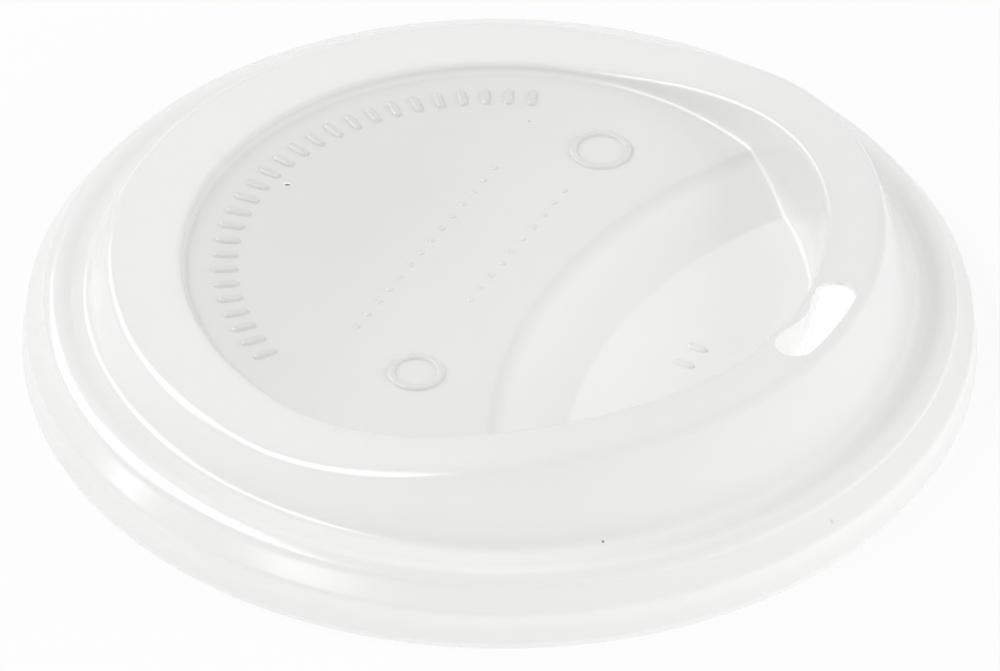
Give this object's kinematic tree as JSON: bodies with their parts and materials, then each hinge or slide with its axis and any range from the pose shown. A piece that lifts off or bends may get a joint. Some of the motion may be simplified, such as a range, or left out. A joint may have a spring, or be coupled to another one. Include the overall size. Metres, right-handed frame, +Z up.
{
  "type": "sip lid for a hot drink cup",
  "caption": "Round thermoformed lid for a hot drink cup: snap skirt, raised drinking ring with a sip slot, and a recess with a ramp and a well.",
  "frame": {"origin": "centre of the skirt's lower edge, which is the plane the lid stands on", "axes": "+Z up through the lid, -Y to the front where the sip slot is, +X to the right seen from above with the front towards the viewer"},
  "size_m": [0.093, 0.093, 0.0157],
  "materials": {
    "sheet": "white thermoformed sheet, softly glossy, slightly translucent"
  },
  "bodies": {
    "root": {"lid_shell": "sheet"}
  },
  "joints": []
}
